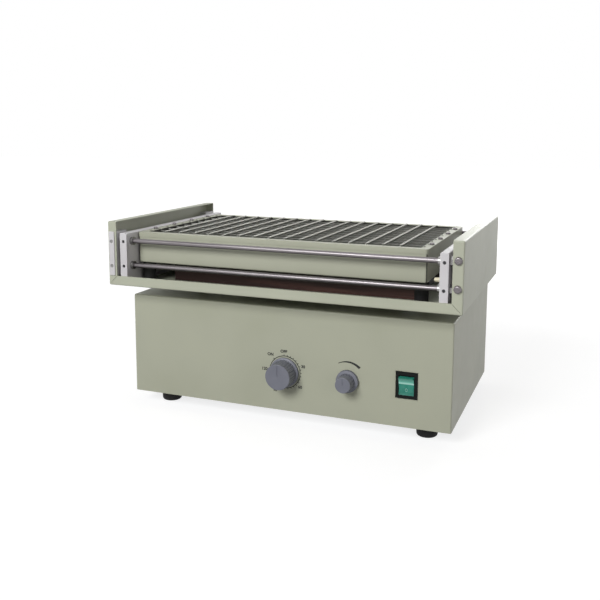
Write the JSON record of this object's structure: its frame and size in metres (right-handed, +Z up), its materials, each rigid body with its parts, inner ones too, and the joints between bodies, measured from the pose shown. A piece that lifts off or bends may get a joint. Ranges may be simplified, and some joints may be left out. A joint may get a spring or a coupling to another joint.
{
  "type": "reciprocating laboratory shaker",
  "caption": "Bench shaker: boxy cabinet with timer, speed knob and rocker switch; a sliding tray platform with a spring net for flasks between white side guards.",
  "frame": {"origin": "centre of the whole object's footprint, on the surface the rubber feet stand on", "axes": "+X to the right of someone facing the controls and along the platform's travel, +Y towards the back, +Z up"},
  "size_m": [0.438, 0.2982, 0.2416],
  "materials": {
    "body_paint": "smooth satin enamel",
    "carrier_paint": "smooth satin enamel",
    "guard_white": "satin white sheet plastic",
    "steel_chrome": "polished plating",
    "steel_screw": "zinc-plated, semi-bright",
    "spring_steel": "close-wound bright wire",
    "board_brown": "dark streaked laminate, satin",
    "rubber_black": "moulded matt",
    "knob_grey": "moulded satin",
    "black_plastic": "moulded satin",
    "rocker_green": "translucent, glossy",
    "cream_plastic": "moulded satin",
    "acetal_white": "machined satin",
    "alloy": "machined",
    "cast_housing": "painted casting",
    "motor_paint": "satin",
    "zinc_sheet": "zinc plated",
    "belt_black": "fabric-backed belt",
    "brass": "bright",
    "board_green": "lacquered laminate"
  },
  "bodies": {
    "base": {"cabinet_shell": "body_paint", "bottom_plate": "zinc_sheet", "bottom_plate_screws": "steel_screw", "rubber_feet": "rubber_black", "foot_screws": "steel_screw", "foot_nuts": "steel_screw", "guide_rails": "steel_chrome", "rail_supports": "alloy", "rail_support_screws": "steel_screw", "crank_housing": "cast_housing", "ball_races": "steel_chrome", "motor_body": "motor_paint", "motor_bracket": "zinc_sheet", "drive_belt": "belt_black", "timer_body": "black_plastic", "speed_control": "zinc_sheet", "panel_nuts": "steel_screw", "switch_housing": "black_plastic", "mains_inlet": "black_plastic", "inlet_pins": "brass", "inlet_screws": "steel_screw", "fuse_holder": "black_plastic", "fuse_cap": "black_plastic", "control_board": "board_green", "board_standoffs": "brass", "board_components": "black_plastic"},
    "platform": {"slide_bearings": "acetal_white", "carrier_frame": "carrier_paint", "carrier_floor_screws": "steel_screw", "side_guard_left": "guard_white", "side_guard_right": "guard_white", "guard_rods": "steel_chrome", "rod_nuts": "steel_screw", "guard_grub_screws": "steel_screw", "rod_holders": "guard_white", "flange_dome_screws": "steel_chrome", "packing_strip": "guard_white", "packing_strip_screws": "steel_screw", "tray_stop": "cream_plastic", "bed_board": "board_brown", "tray_posts": "rubber_black", "tray_pan": "body_paint", "tray_screws": "steel_screw", "tray_rim_screws": "steel_chrome", "long_springs": "spring_steel", "cross_springs": "spring_steel", "drive_block": "alloy", "wrist_pin": "steel_chrome"},
    "conrod": {"connecting_rod": "alloy", "crank_pin": "steel_chrome"},
    "crank": {"crank_disc": "zinc_sheet", "crank_shaft": "steel_chrome", "crank_pulley": "alloy"},
    "motor_rotor": {"motor_shaft": "steel_chrome", "motor_pulley": "alloy"},
    "timer_control": {"timer_spindle": "steel_chrome", "timer_knob": "knob_grey"},
    "speed_dial": {"speed_spindle": "steel_chrome", "speed_knob": "knob_grey"},
    "power_rocker": {"switch_rocker": "rocker_green"}
  },
  "joints": [
    {"name": "platform_slide", "type": "slide", "parent": "base", "child": "platform", "axis": [1, 0, 0], "range_m": [-0.01, 0.01]},
    {"name": "conrod_swing", "type": "hinge", "parent": "platform", "child": "conrod", "pos_m": [0, 0.0121, 0.125], "axis": [0, 0, 1], "range_deg": [-12.09, 0]},
    {"name": "crank_turn", "type": "hinge", "parent": "base", "child": "crank", "pos_m": [0.09447, 0.0121, 0.1014], "axis": [0, 0, 1], "continuous": true},
    {"name": "motor_turn", "type": "hinge", "parent": "base", "child": "motor_rotor", "pos_m": [-0.07, 0.0121, 0.1014], "axis": [0, 0, 1], "continuous": true},
    {"name": "timer_turn", "type": "hinge", "parent": "base", "child": "timer_control", "pos_m": [0.004, -0.1129, 0.0662], "axis": [0, -1, 0], "range_deg": [-275, 40]},
    {"name": "speed_turn", "type": "hinge", "parent": "base", "child": "speed_dial", "pos_m": [0.0832, -0.1129, 0.065], "axis": [0, -1, 0], "range_deg": [-135, 135]},
    {"name": "rocker_press", "type": "hinge", "parent": "base", "child": "power_rocker", "pos_m": [0.1532, -0.1093, 0.0683], "axis": [1, 0, 0], "range_deg": [-18, 0]}
  ],
  "couplings": [
    {"joint": "motor_turn", "follows": "crank_turn", "ratio": 4}
  ]
}
